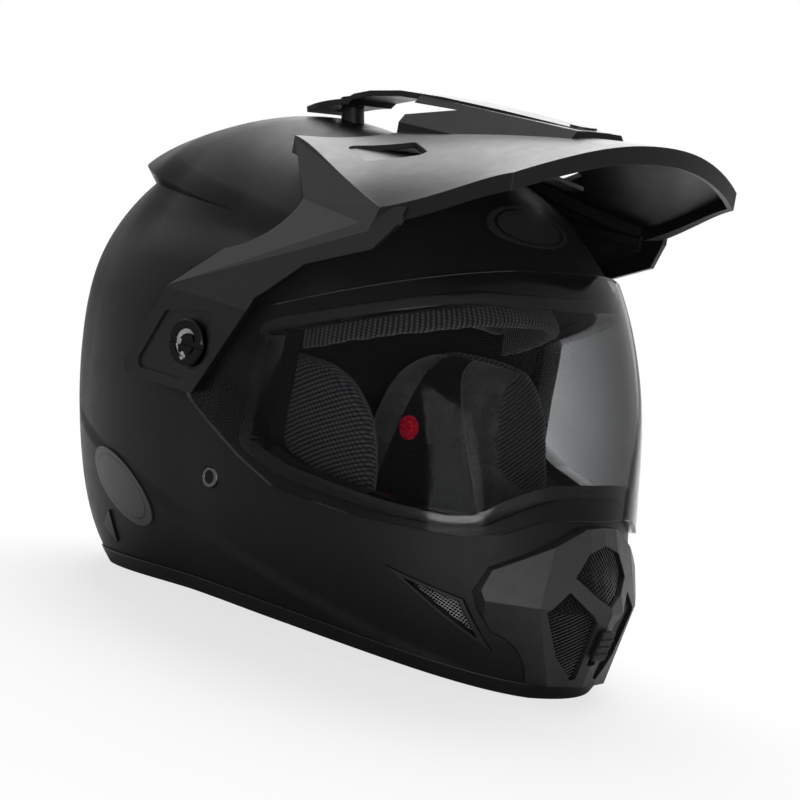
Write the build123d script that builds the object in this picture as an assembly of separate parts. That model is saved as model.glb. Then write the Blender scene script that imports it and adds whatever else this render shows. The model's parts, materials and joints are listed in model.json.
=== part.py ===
from build123d import *
import os
from math import atan2, cos, degrees, hypot, radians, sin

os.makedirs("parts", exist_ok=True)

# A dual sport helmet: full shell, long peak, clear face shield, vented chin.
# Millimetres. +Z up, the face looks towards -Y, the wearer's left is +X.
# The helmet stands with its lower edge on z = 0, under the middle of the shell.

# The helmet's main sizes
shell_length = 352.0        # front of the chin to the back of the head
shell_half_width = 117.0    # centre plane to the shell's side at the pivot
shell_wall = 4.0
sweep_margin = 1.0          # overrun of every cutter past what it cuts

# Clearances
seat_gap = 0.4              # between curved pieces of one body
running_gap = 0.7           # between the shell and the shield that turns over it
peak_gap = 1.3              # between the shell and the peak that tilts over it
pin_gap = 0.3               # round shafts and bosses that turn

# Lower edge
trim_height = 8.0
trim_proud = 0.8
trim_lip = 3.0
edge_rise = 12.0            # how far the edge arches up between chin and neck

# Liner
liner_depth = 28.0
chin_liner_depth = 18.0
pad_depth = 8.0
brow_pad_depth = 10.0
brow_pad_drop = 15.0
brow_pad_height = 30.0
neck_roll_depth = 26.0

# Eyeport
port_corner = 9.0
gasket_face = 6.5
gasket_depth = 13.0

# Shield
shield_wall = 2.2
shield_corner = 6.0
shield_hub_radius = 19.0
shield_bore_radius = 7.0
tab_radius = 9.0
tab_height = 6.0

# Pivots and knobs
pivot_base_radius = 16.0
pivot_flange_radius = 19.0
pivot_flange_inset = 1.8
pivot_flange_thickness = 2.0
knob_radius = 12.0
knob_thickness = 4.0
knob_shaft_radius = 3.0
knob_shaft_length = 13.0
coin_slot_width = 3.0
coin_slot_depth = 1.6

# Peak
peak_wall = 3.0
peak_rim_height = 9.0
arm_wall = 3.6
arm_pocket_depth = 1.2
hood_wall = 2.6
tongue_wall = 3.0
peak_screw_radius = 3.0
peak_screw_head_radius = 6.0
peak_screw_head = 2.4
vent_floor_drop = 8.0

# Chin
housing_wall = 2.6
mesh_sheet = 1.2
mesh_pitch = 4.2
mesh_hole = 3.0
side_mesh_pitch = 2.7
side_mesh_hole = 1.8
mesh_row_share = 0.866      # height of a staggered row, of the pitch
slider_place_share = 0.6    # how far up the stem the slider rests
foot_share = 0.75
rib_share = 0.8
tiny = 0.01
slider_depth = 3.0
slider_width = 10.0
slider_height = 16.0
slider_travel = 8.0
slider_rib = 0.8
slider_gap = 0.4
ridge_clearance = 1.7

# Side vents and badges
bezel_depth = 3.0
bezel_width = 1.8
badge_thickness = 1.0

# Straps
strap_width = 24.0
strap_thickness = 2.0
anchor_thickness = 1.6
rivet_radius = 5.3
rivet_shank_radius = 2.6
rivet_head = 1.4
snap_radius = 6.5
snap_height = 3.0
ring_wire = 3.0
ring_inner_width = 25.0
ring_inner_height = 11.0
ring_gap = 0.5

plate_x = -(shell_half_width + running_gap + shield_wall + running_gap + arm_wall)

# Angles, in degrees
peak_travel = 4.0           # how far the peak can be lowered

# Places are shares: heights and lengths of shell_length, widths of shell_half_width.
pivot_y = 0.06 * shell_length
pivot_z = 0.395 * shell_length


def side_points(shares):
    """Points of the side view, as pairs along Y and Z."""
    return [(y * shell_length, z * shell_length) for y, z in shares]


def front_points(shares):
    return [(x * shell_half_width, z * shell_length) for x, z in shares]


def plan_points(shares):
    return [(x * shell_half_width, y * shell_length) for x, y in shares]


def place(share):
    x, y, z = share
    return Vector(x * shell_half_width, y * shell_length, z * shell_length)


def mirrored(points):
    """A half outline that starts and ends on the centre line, made whole."""
    return points + [(-across, along) for across, along in reversed(points) if across]


def outline_face(points, corner=0.0):
    face = make_face(Polyline(*points, close=True))
    if corner:
        face = fillet(face.vertices(), corner)
    return face


def side_slab(face, low_x, high_x):
    return extrude(Plane.YZ.offset(low_x) * face, amount=high_x - low_x)


def front_slab(face, low_y, high_y):
    return extrude(Plane.XZ.offset(-high_y) * face, amount=high_y - low_y)


def plan_slab(face, low_z, high_z):
    return extrude(Plane.XY.offset(low_z) * face, amount=high_z - low_z)


def both_sides(solid):
    return solid + solid.mirror(Plane.YZ)


# Outer form: for each angle round the pivot axis, from the front (0) over the crown (90)
# to the back (180), how far the centre line lies from that axis, in shares of shell_length.
body_reach_shares = [
    (-90, 0.5), (-62, 0.557), (-40, 0.636), (-26, 0.58), (-18, 0.523), (-10, 0.489), (8, 0.443),
    (26, 0.401), (36, 0.375), (50, 0.358), (62, 0.341), (78, 0.328), (95, 0.324), (112, 0.341),
    (130, 0.363), (148, 0.398), (158, 0.417), (168, 0.433), (180, 0.441), (195, 0.449),
    (212, 0.474), (230, 0.515), (250, 0.52)]
crown_reach_shares = [
    (-90, 0.4), (-40, 0.4), (8, 0.39), (36, 0.35), (62, 0.325), (80, 0.316), (95, 0.321),
    (112, 0.351), (130, 0.386), (143, 0.422), (152, 0.446), (162, 0.45), (190, 0.444), (250, 0.42)]
shield_reach_shares = [
    (-90, 0.54), (-62, 0.58), (-40, 0.64), (-26, 0.583), (-18, 0.527), (-10, 0.493), (8, 0.438),
    (26, 0.404), (50, 0.374), (90, 0.352), (180, 0.483), (250, 0.52)]
# How square each section is: 2 is an ellipse, more is fuller at the corners.
body_roundness_shares = [
    (-90, 2.3), (-62, 2.3), (-40, 2.0), (-26, 1.85), (-10, 1.95), (8, 2.1), (26, 2.2), (50, 2.25),
    (95, 2.1), (130, 2.15), (180, 2.3), (250, 2.3)]
shield_roundness_shares = [
    (-90, 2.4), (-62, 2.4), (-40, 2.03), (-26, 1.88), (-10, 1.98), (8, 2.12), (26, 2.2), (60, 2.3),
    (180, 2.4), (250, 2.4)]
form_turns = 36
form_rings = 6
widest_turn = 83


def between(table, angle):
    """Smooth value at an angle, from a table that closes on itself."""
    count = len(table)
    step = max(i for i in range(count) if table[i][0] <= angle)

    def key(i):
        return table[i % count][0] + 360 * (i // count)

    def value(i):
        return table[i % count][1]

    width = key(step + 1) - key(step)
    t = (angle - key(step)) / width
    slope_in = (value(step + 1) - value(step - 1)) / (key(step + 1) - key(step - 1))
    slope_out = (value(step + 2) - value(step)) / (key(step + 2) - key(step))
    return (value(step) * (1 + 2 * t) * (1 - t) ** 2 + slope_in * width * t * (1 - t) ** 2
            + value(step + 1) * t * t * (3 - 2 * t) + slope_out * width * t * t * (t - 1))


def form_ring(reach_table, roundness_table, inset, across):
    """Closed section of a form, at a share of its half width."""
    points = []
    for i in range(form_turns):
        angle = -90 + 360 * i / form_turns
        reach = shell_length * between(reach_table, angle) - inset
        power = between(roundness_table, angle)
        radius = reach * (1 - abs(across) ** power) ** (1 / power)
        turn = radians(angle)
        points.append(Vector((shell_half_width - inset) * across,
                             pivot_y - radius * cos(turn), pivot_z + radius * sin(turn)))
    return Wire([Edge.make_spline(points, periodic=True)])


def form_solid(reach_table, inset, roundness_table=body_roundness_shares):
    """Whole head-shaped form, drawn in by inset on every side."""
    turns = [widest_turn * j / form_rings for j in range(-form_rings, form_rings + 1)]
    rings = [form_ring(reach_table, roundness_table, inset, sin(radians(t))) for t in turns]
    return Solid.make_loft(rings)


def body_form(inset):
    return form_solid(body_reach_shares, inset)


def shield_form(inset):
    return form_solid(shield_reach_shares, inset, shield_roundness_shares)


# Lower edge of the helmet, in the side view
edge_front_share, edge_rear_share = -0.426, 0.384
far_share = 0.62


def above_edge(lift):
    """Everything above the arched lower edge, raised by lift."""
    front, rear = edge_front_share * shell_length, edge_rear_share * shell_length
    far = far_share * shell_length
    top = shell_length
    line = Line((-far, lift), (front, lift))
    arch = ThreePointArc((front, lift), ((front + rear) / 2, lift + edge_rise), (rear, lift))
    rest = Polyline((rear, lift), (far, lift), (far, top), (-far, top), (-far, lift))
    return side_slab(make_face([line, arch, rest]), -far, far)


# Eyeport in the side view, run out in front past the chin
port_shares = [(-0.04, 0.449), (-0.165, 0.5), (-0.278, 0.548), (-0.611, 0.565), (-0.611, 0.29),
    (-0.423, 0.287), (-0.406, 0.27), (-0.372, 0.233), (-0.335, 0.224), (-0.261, 0.227),
        (-0.122, 0.244), (-0.04, 0.27)]


def port_prism(growth):
    face = outline_face(side_points(port_shares), port_corner)
    if growth:
        face = offset(face, amount=growth)
    return side_slab(face, -shell_half_width, shell_half_width)


# Crown: a second form above a tilted crease, with a raked band under it
crease_height_share = 0.578
crease_tilt_share = 0.063
crown_start_share = 0.051
band_height_share = 0.068
band_draw_share = 0.84


def crown_rear():
    span = 2 * shell_length
    crease = Plane(origin=(0, 0, crease_height_share * shell_length), x_dir=(1, 0, 0),
                   z_dir=(0, -crease_tilt_share, 1))
    above = crease * Box(span, span, span, align=(Align.CENTER, Align.CENTER, Align.MIN))
    top = form_solid(crown_reach_shares, 0) & above
    section = min(top.faces(), key=lambda f: f.center().Z)
    centre = section.center()
    drawn = 1 - band_draw_share
    low = scale(section, by=band_draw_share).moved(Location(
        (0, centre.Y * drawn, centre.Z * drawn - band_height_share * shell_length)))
    band = loft([section, low], ruled=True)
    behind = Pos(0, crown_start_share * shell_length, 0) * Box(
        span, span, span, align=(Align.CENTER, Align.MIN, Align.CENTER))
    return (top + band) & behind


# Openings of the shell
chin_window_shares = [(0, 0.028), (-0.077, 0.028), (-0.171, 0.062), (-0.265, 0.134), (-0.154, 0.193),
    (0, 0.216)]
side_vent_shares = [(-0.278, 0.158), (-0.372, 0.131), (-0.405, 0.062), (-0.352, 0.102)]
side_vent_face_shares = [(-0.318, 0.143), (-0.364, 0.128), (-0.384, 0.094), (-0.349, 0.116)]
rivet_share = (-0.957, 0.008, 0.213)


pole_x = shell_half_width * sin(radians(widest_turn))


def pivot_cylinder(radius, low_x, high_x):
    """Cylinder along X about the pivot axis."""
    disc = Pos(pivot_y, pivot_z) * Circle(radius)
    return side_slab(disc, low_x, high_x)


def rivet_cylinder(radius, low_x, high_x):
    centre = place(rivet_share)
    disc = Pos(centre.Y, centre.Z) * Circle(radius)
    return side_slab(disc, low_x, high_x)


def make_shell(outer):
    wall = (outer - body_form(shell_wall)) & above_edge(trim_height)
    wall -= port_prism(0)
    wall -= side_slab(outline_face(side_points(side_vent_shares)), -shell_half_width, shell_half_width)
    window = outline_face(mirrored(front_points(chin_window_shares)))
    wall -= front_slab(window, -far_share * shell_length, -far_share * shell_length / 2)
    bore = pivot_cylinder(pivot_base_radius + seat_gap, -2 * shell_half_width, -shell_half_width / 2)
    wall -= both_sides(bore + make_rivet(pin_gap))
    wall -= screw_axis() * Cylinder(peak_screw_radius + pin_gap, 0.17 * shell_length)
    return wall


def make_edge_trim():
    ring = body_form(-trim_proud) - body_form(shell_wall + trim_lip)
    return (ring & above_edge(0)) - above_edge(trim_height)


# Liner
chin_split_share = -0.199
liner_lift = trim_height + 6.0
strap_path_shares = [(-0.876, 0.239), (-0.876, 0.188), (-0.85, 0.136), (-0.795, 0.091),
    (-0.684, 0.054), (-0.513, 0.043), (-0.368, 0.071), (-0.265, 0.119)]
strap_centre_share = 0.008


def ribbon_points(points, thickness):
    """Outline of a bent band of one thickness whose middle follows the points."""
    left, right = [], []
    for i, (across, up) in enumerate(points):
        before, after = points[max(i - 1, 0)], points[min(i + 1, len(points) - 1)]
        turn_in = atan2(up - before[1], across - before[0]) if i else None
        turn_out = atan2(after[1] - up, after[0] - across) if i < len(points) - 1 else turn_in
        turn_in = turn_out if turn_in is None else turn_in
        middle = (turn_in + turn_out) / 2
        reach = thickness / 2 / cos((turn_out - turn_in) / 2)
        left.append((across - reach * sin(middle), up + reach * cos(middle)))
        right.append((across + reach * sin(middle), up - reach * cos(middle)))
    return left + right[::-1]


def strap_band(thickness, width):
    """The right strap's run, in the front view."""
    path = front_points(strap_path_shares)
    centre = strap_centre_share * shell_length
    return front_slab(outline_face(ribbon_points(path, thickness)), centre - width / 2, centre + width / 2)


def make_liners():
    outer = body_form(shell_wall + seat_gap)
    main = (outer - body_form(shell_wall + seat_gap + liner_depth)) & above_edge(liner_lift)
    main -= port_prism(seat_gap)
    far = far_share * shell_length
    split = chin_split_share * shell_length
    chin_zone = Pos(0, split, 0) * Box(far * 2, far, 0.284 * shell_length,
                                       align=(Align.CENTER, Align.MAX, Align.MIN))
    slot = strap_band(strap_thickness + 3 * seat_gap, strap_width + 2 * seat_gap)
    anchor = make_strap_anchor(seat_gap) + make_rivet(seat_gap)
    base = pivot_cylinder(pivot_flange_radius + seat_gap, -shell_half_width,
                          -shell_half_width + shell_wall + pivot_flange_inset
                          + pivot_flange_thickness + seat_gap)
    base += pivot_cylinder(knob_shaft_radius + pin_gap, -shell_half_width,
                           plate_x + arm_pocket_depth + knob_shaft_length + seat_gap)
    main -= chin_zone
    main -= both_sides(slot + anchor + base)
    chin = outer - body_form(shell_wall + seat_gap + chin_liner_depth)
    chin &= chin_zone.moved(Location((0, -seat_gap, 0)))
    chin = (chin & above_edge(liner_lift)) - port_prism(seat_gap)
    window = outline_face(mirrored(front_points(chin_window_shares)))
    chin -= front_slab(window, -far, -far / 2)
    chin -= side_slab(outline_face(side_points(side_vent_shares)), -shell_half_width, shell_half_width)
    return main, chin


anchor_half_share = 0.031


def make_strap_anchor(growth):
    """Steel plate outside the strap's upper end, under the rivet."""
    centre = place(rivet_share)
    half = anchor_half_share * shell_length + growth
    face = Pos(centre.Y, centre.Z) * Rectangle(2 * half, 2 * half)
    outer_x = strap_path_shares[0][0] * shell_half_width - strap_thickness / 2 - anchor_thickness
    return side_slab(face, outer_x - growth, outer_x + anchor_thickness + growth)


def make_rivet(growth):
    """Rivet through shell, anchor plate and strap, with a round head on both ends."""
    centre = place(rivet_share)
    inner_x = strap_path_shares[0][0] * shell_half_width + strap_thickness / 2
    head_x = centre.X + rivet_head / 2
    shank = rivet_cylinder(rivet_shank_radius + growth, head_x, inner_x + growth)
    head = rivet_cylinder(rivet_radius + growth, head_x - rivet_head - growth, head_x + growth)
    if not growth:
        head = fillet(head.faces().sort_by(Axis.X)[0].edges(), rivet_head / 2)
    washer = rivet_cylinder(rivet_radius + growth, inner_x, inner_x + rivet_head + growth)
    return head + shank + washer


crown_pad_low_share = 0.432
crown_pad_front_share = -0.108


brow_line_shares = [(-0.034, 0.449), (-0.165, 0.5), (-0.278, 0.548), (-0.611, 0.611)]


def brow_band(growth):
    """Slab of the side view that the brow pad fills."""
    line = side_points(brow_line_shares)
    low = [(y, z - brow_pad_drop - growth) for y, z in line]
    high = [(y, z - brow_pad_drop + brow_pad_height + growth) for y, z in reversed(line)]
    low[0], high[-1] = (low[0][0] + growth, low[0][1]), (high[-1][0] + growth, high[-1][1])
    return side_slab(outline_face(low + high), -shell_half_width, shell_half_width)


def make_brow_pad():
    start = shell_wall + 2 * seat_gap + liner_depth
    return (body_form(start) - body_form(start + brow_pad_depth)) & brow_band(0)


def make_crown_pad():
    start = shell_wall + 2 * seat_gap + liner_depth
    pad = body_form(start) - body_form(start + pad_depth)
    span = 2 * shell_length
    corner = Pos(0, crown_pad_front_share * shell_length, crown_pad_low_share * shell_length)
    pad &= corner * Box(span, span, span, align=(Align.CENTER, Align.MIN, Align.MIN))
    pad -= brow_band(2 * seat_gap)
    return max(pad.solids(), key=lambda solid: solid.volume)


cheek_shares = [(-0.21, 0.114), (-0.205, 0.239), (-0.182, 0.335), (-0.119, 0.392), (0, 0.403),
    (0.102, 0.381), (0.148, 0.295), (0.148, 0.17), (0.114, 0.097), (0.04, 0.077), (-0.057, 0.08),
        (-0.125, 0.062), (-0.176, 0.068)]
cheek_layer_shares = [(-0.803, 0.96, 0), (-0.684, 1.0, 0), (-0.564, 0.97, 0.009), (-0.487, 0.88, 0.026),
                      (-0.444, 0.74, 0.037)]


def make_cheek_pad():
    """Cushion between the liner and the face: crowned at the face, sloping away to the front."""
    start = shell_wall + 2 * seat_gap + liner_depth
    points = side_points(cheek_shares)
    middle_y = sum(y for y, z in points) / len(points)
    middle_z = sum(z for y, z in points) / len(points)
    rings = []
    for across, size, shift in cheek_layer_shares:
        centre_y = middle_y + shift * shell_length
        ring = [Vector(across * shell_half_width, centre_y + (y - middle_y) * size,
                       middle_z + (z - middle_z) * size) for y, z in points]
        rings.append(Wire([Edge.make_spline(ring, periodic=True)]))
    pad = Solid.make_loft(rings) & body_form(start)
    pad -= strap_band(strap_thickness + 4 * seat_gap, strap_width + 4 * seat_gap)
    return max(pad.solids(), key=lambda s: s.volume)


neck_front_share = 0.176


def make_neck_roll():
    start = shell_wall + trim_lip + seat_gap
    roll = body_form(start) - body_form(start + neck_roll_depth)
    roll = (roll & above_edge(2 * seat_gap)) - above_edge(liner_lift - seat_gap)
    span = 2 * shell_length
    return roll & (Pos(0, neck_front_share * shell_length, 0) * Box(
        span, span, span, align=(Align.CENTER, Align.MIN, Align.CENTER)))


def make_gasket():
    seal = shield_form(running_gap / 7) - body_form(gasket_depth)
    return seal & (port_prism(-seat_gap / 4) - port_prism(-gasket_face))


# Shield
shield_shares = [(0.068, 0.321), (-0.051, 0.256), (-0.108, 0.23), (-0.227, 0.217), (-0.352, 0.216),
    (-0.395, 0.227), (-0.426, 0.256), (-0.611, 0.261), (-0.611, 0.602), (-0.347, 0.594),
        (-0.29, 0.58), (-0.182, 0.531), (-0.062, 0.477), (0.023, 0.455)]


def shield_outline():
    body = outline_face(side_points(shield_shares), shield_corner)
    hub = Pos(pivot_y, pivot_z) * Circle(shield_hub_radius)
    link = outline_face([(pivot_y, pivot_z - shield_hub_radius), (pivot_y, pivot_z + shield_hub_radius),
                         (pivot_y - shield_hub_radius * 2, pivot_z + shield_hub_radius),
                         (pivot_y - shield_hub_radius * 2, pivot_z - shield_hub_radius)])
    return body + hub + link


def make_shield():
    skin = shield_form(-running_gap - shield_wall) - shield_form(-running_gap)
    side = side_slab(shield_outline(), -2 * shell_half_width, 2 * shell_half_width)
    bore = pivot_cylinder(shield_bore_radius, -2 * shell_half_width, 2 * shell_half_width)
    return (skin & side) - bore


def make_pivot_base():
    """Fixed base of the right pivot: flange inside the wall, boss that the shield turns on."""
    flange_x = -shell_half_width + shell_wall + pivot_flange_inset
    base = pivot_cylinder(pivot_base_radius, -pole_x, flange_x)
    flange = pivot_cylinder(pivot_flange_radius, flange_x, flange_x + pivot_flange_thickness)
    boss_x = -shell_half_width - running_gap - shield_wall
    boss = pivot_cylinder(shield_bore_radius - pin_gap, boss_x, -pole_x)
    bore = pivot_cylinder(knob_shaft_radius + pin_gap, 2 * boss_x, 0)
    return base + flange + boss - bore


# Knobs


def make_knob():
    face_x = plate_x + arm_pocket_depth - pin_gap
    head = pivot_cylinder(knob_radius, face_x - knob_thickness, face_x)
    head = chamfer(head.faces().sort_by(Axis.X)[0].edges(), knob_thickness / 5)
    shaft = pivot_cylinder(knob_shaft_radius, face_x, face_x + knob_shaft_length)
    slot_face = Pos(pivot_y, pivot_z) * Rectangle(2 * knob_radius, coin_slot_width)
    slot = side_slab(slot_face, face_x - knob_thickness, face_x - knob_thickness + coin_slot_depth)
    notch = Pos(pivot_y, pivot_z) * Circle(knob_radius * 0.62) - Pos(pivot_y, pivot_z) * Circle(knob_radius * 0.5)
    ring = side_slab(notch, face_x - knob_thickness, face_x - knob_thickness + coin_slot_depth / 2)
    return head + shaft - slot - ring


# Peak
peak_sections = [
    (0.114, [(0, 0.736), (0.342, 0.716), (0.632, 0.696), (0.855, 0.673)]),
    (-0.071, [(0, 0.753), (0.291, 0.733), (0.581, 0.699), (0.889, 0.651)]),
    (-0.202, [(0, 0.767), (0.308, 0.75), (0.632, 0.705), (0.923, 0.631)]),
    (-0.312, [(0, 0.778), (0.308, 0.764), (0.632, 0.724), (0.855, 0.682)]),
    (-0.469, [(0, 0.788), (0.342, 0.778), (0.65, 0.744), (0.855, 0.702)])]
peak_plan_shares = [(0, -0.04), (-0.222, -0.034), (-0.632, 0.062), (-0.889, -0.202), (-0.744, -0.386)]
peak_front_share = -0.432


def peak_top_form(drop):
    """Everything under the peak's arched top, lowered by drop."""
    rings = []
    floor = 0.341 * shell_length
    for y_share, shares in peak_sections:
        half = front_points(shares)
        y = y_share * shell_length
        points = [(-x, y, z - drop) for x, z in reversed(half[1:])] + [(x, y, z - drop) for x, z in half]
        foot_left, foot_right = (points[0][0], y, floor), (points[-1][0], y, floor)
        rings.append(Wire([Edge.make_spline([Vector(*p) for p in points]),
                           Edge.make_line(points[-1], foot_right), Edge.make_line(foot_right, foot_left),
                           Edge.make_line(foot_left, points[0])]))
    return Solid.make_loft(rings)


def peak_plan(growth):
    half = plan_points(peak_plan_shares)
    corner = half[-1]
    arch = ThreePointArc(corner, (0, peak_front_share * shell_length), (-corner[0], corner[1]))
    right = Polyline(*half)
    left = Polyline(*[(-x, y) for x, y in half])
    face = make_face([right, arch, left])
    return offset(face, amount=growth) if growth else face


arm_foot_share, arm_bend_share = 0.284, 0.463
arm_upper_shares = [(-0.902, 0.614), (-0.863, 0.659)]
arm_side_shares = [(0.179, 0.327), (0.188, 0.344), (0.128, 0.446), (0.122, 0.466), (-0.193, 0.608),
    (-0.199, 0.642), (-0.244, 0.651), (-0.239, 0.625), (-0.213, 0.585), (-0.108, 0.543),
        (-0.062, 0.497), (-0.043, 0.48), (-0.04, 0.463), (0.04, 0.327)]
arm_pocket_shares = [(0.162, 0.341), (0.116, 0.432), (0.017, 0.449), (0.06, 0.341)]
flank_tiles = [[(-0.632, 0.062, 0.699), (-0.889, -0.202, 0.642),
    (-0.761, -0.017, 0.622)], [(-0.889, -0.202, 0.642), (-0.906, -0.193, 0.608), (-0.761, -0.017, 0.622)]]
flank_push_share = (0.023, -0.002, -0.003)
shelf_tiles = [[(-1.06, 0.122, 0.466), (-0.906, -0.193, 0.608),
    (-0.863, -0.199, 0.631)], [(-1.06, 0.122, 0.466), (-0.863, -0.199, 0.631), (-0.735, -0.023, 0.634)]]
shelf_push_share = (0.019, -0.001, -0.005)


def tile_group(tiles, push_share):
    """Flat triangles given one common thickness."""
    push = place(push_share)
    solids = [extrude(Face(Wire.make_polygon([place(p) for p in tile])), amount=push.length,
                      dir=push.normalized()) for tile in tiles]
    return solids[0].fuse(*solids[1:])


def make_peak_arm():
    outer = [(plate_x, arm_foot_share * shell_length), (plate_x, arm_bend_share * shell_length)]
    outer += front_points(arm_upper_shares)
    inner = [(x + arm_wall, z + arm_wall / 4) for x, z in reversed(outer)]
    far = far_share * shell_length
    bent = front_slab(outline_face(outer + inner), -far, far)
    arm = bent & side_slab(outline_face(side_points(arm_side_shares)), -2 * shell_half_width, 0)
    pocket = outline_face(side_points(arm_pocket_shares), arm_wall)
    arm -= side_slab(pocket, plate_x - sweep_margin, plate_x + arm_pocket_depth)
    arm -= pivot_cylinder(knob_shaft_radius + pin_gap, -2 * shell_half_width, 0)
    arm += tile_group(shelf_tiles, shelf_push_share) + tile_group(flank_tiles, flank_push_share)
    return arm - pivot_cylinder(knob_radius + running_gap, plate_x - sweep_margin, plate_x + arm_pocket_depth)


hood_section_shares = [(0, 0.787), (-0.145, 0.786), (-0.256, 0.744), (-0.256, 0.71), (0, 0.71)]
hood_rear_share, hood_front_share = -0.017, -0.318
hood_window_shares = [(0.006, 0.773), (-0.097, 0.777), (-0.017, 0.756)]
roof_top_shares = [(-0.318, 0.787), (-0.17, 0.79), (-0.057, 0.79), (0.023, 0.786), (0.082, 0.776),
    (0.114, 0.766)]
roof_plan_shares = [(0, -0.318), (-0.077, -0.318), (-0.145, -0.057), (-0.145, 0.085), (-0.137, 0.188),
    (-0.12, 0.216), (0, 0.222)]
tongue_reach_share = 0.359
tongue_front_angle, tongue_rear_angle = 100, 114
screw_angle = 105.5


def pivot_point(radius, angle):
    turn = radians(angle)
    return (pivot_y - radius * cos(turn), pivot_z + radius * sin(turn))


def tongue_arc(radius, start, end):
    return ThreePointArc(pivot_point(radius, start), pivot_point(radius, (start + end) / 2),
                         pivot_point(radius, end))


def make_roof():
    """Raised spine over the middle of the peak, with the tongue that the screw holds."""
    top = side_points(roof_top_shares)
    bottom = [(y, z - tongue_wall) for y, z in top]
    strip = outline_face(top + bottom[::-1])
    inner = tongue_reach_share * shell_length
    outer = inner + tongue_wall
    tongue = make_face([tongue_arc(inner, tongue_front_angle, tongue_rear_angle),
                        Line(pivot_point(inner, tongue_rear_angle), pivot_point(outer, tongue_rear_angle)),
                        tongue_arc(outer, tongue_rear_angle, tongue_front_angle),
                        Line(pivot_point(outer, tongue_front_angle), pivot_point(inner, tongue_front_angle))])
    bridge = outline_face([top[-2], top[-1], pivot_point(outer, tongue_front_angle + 1),
                           pivot_point(inner, tongue_front_angle + 1), pivot_point(inner, tongue_front_angle),
                           bottom[-1], bottom[-2]])
    side = side_slab(strip, -shell_half_width, shell_half_width)
    side += side_slab(tongue + bridge, -shell_half_width, shell_half_width)
    plan = plan_slab(outline_face(mirrored(plan_points(roof_plan_shares))), 0, shell_length)
    return side & plan


def screw_slot():
    """Slot in the tongue, long enough for the peak's travel."""
    inner = (tongue_reach_share * shell_length) - sweep_margin
    outer = inner + tongue_wall + 4 * sweep_margin
    reach = degrees((peak_screw_radius + pin_gap) / inner)
    start, end = screw_angle - reach, screw_angle + peak_travel + reach
    face = make_face([tongue_arc(inner, start, end), Line(pivot_point(inner, end), pivot_point(outer, end)),
                      tongue_arc(outer, end, start), Line(pivot_point(outer, start), pivot_point(inner, start))])
    half = peak_screw_radius + pin_gap
    return side_slab(face, -half, half)


vent_shares = [(-0.547, -0.009), (-0.393, -0.097), (-0.521, -0.165), (-0.641, -0.085)]
vent_floor_tiles = [[(-0.573, 0.014, 0.7), (-0.359, -0.097, 0.71),
    (-0.513, -0.168, 0.692)], [(-0.573, 0.014, 0.7), (-0.513, -0.168, 0.692), (-0.675, -0.085, 0.68)]]
vent_floor_push_share = (0, 0, -0.007)


def make_peak():
    top = peak_top_form(0)
    lid = (top - peak_top_form(peak_wall)) & plan_slab(peak_plan(0), 0, shell_length)
    band = plan_slab(peak_plan(0), 0, shell_length) - plan_slab(peak_plan(-peak_wall), 0, shell_length)
    rim = (band & top) - peak_top_form(peak_rim_height)
    hood = outline_face(mirrored(front_points(hood_section_shares)))
    core = offset(hood, amount=-hood_wall)
    rear, front = hood_rear_share * shell_length, hood_front_share * shell_length
    under = peak_top_form(peak_wall)
    hood_shell = front_slab(hood, front, rear) - front_slab(core, front + hood_wall, rear + sweep_margin)
    hood_shell -= under
    lid -= front_slab(core, front + 3 * hood_wall, rear + sweep_margin)
    window = side_slab(outline_face(side_points(hood_window_shares)), -shell_half_width, shell_half_width)
    vent = plan_slab(outline_face(plan_points(vent_shares), arm_wall), 0, shell_length)
    vent += vent.mirror(Plane.YZ)
    floor = both_sides(tile_group(vent_floor_tiles, vent_floor_push_share))
    floor &= top
    peak = lid + rim - vent + floor + (hood_shell - window) + make_roof() + both_sides(make_peak_arm())
    peak -= screw_slot()
    clear = body_form(-peak_gap)
    peak -= clear
    peak -= clear.rotate(Axis((0, pivot_y, pivot_z), (1, 0, 0)), -peak_travel)
    return max(peak.solids(), key=lambda s: s.volume)


def screw_axis():
    """Plane on the tongue's inner face, its normal along the peak screw."""
    centre = pivot_point(tongue_reach_share * shell_length, screw_angle)
    turn = radians(screw_angle)
    return Plane(origin=(0, centre[0], centre[1]), x_dir=(1, 0, 0), z_dir=(0, -cos(turn), sin(turn)))


def make_peak_screw():
    """Screw from the shell's crown, through the tongue's slot, with a round slotted head."""
    inner = tongue_reach_share * shell_length
    up = (Align.CENTER, Align.CENTER, Align.MIN)
    depth = inner - shell_length * between(body_reach_shares, screw_angle) + shell_wall - seat_gap
    under_head = tongue_wall + pin_gap
    shank = Pos(0, 0, -depth) * Cylinder(peak_screw_radius, depth + under_head, align=up)
    head = Pos(0, 0, under_head) * Cylinder(peak_screw_head_radius, peak_screw_head, align=up)
    head = fillet(head.faces().sort_by(Axis.Z)[-1].edges(), peak_screw_head / 4)
    slot = Pos(0, 0, under_head + peak_screw_head) * Box(
        2 * peak_screw_head_radius, coin_slot_width / 2, peak_screw_head)
    return screw_axis() * (shank + head - slot)


def make_peak_spacer():
    """Collar between the shell's crown and the tongue."""
    stand = shell_wall * 3
    ring = Pos(0, 0, -stand) * Cylinder(peak_screw_head_radius, stand - pin_gap,
                                        align=(Align.CENTER, Align.CENTER, Align.MIN))
    ring -= Cylinder(peak_screw_radius + pin_gap, 3 * stand)
    collar = screw_axis() * ring - form_solid(crown_reach_shares, -seat_gap / 2)
    return max(collar.solids(), key=lambda s: s.volume)


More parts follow.
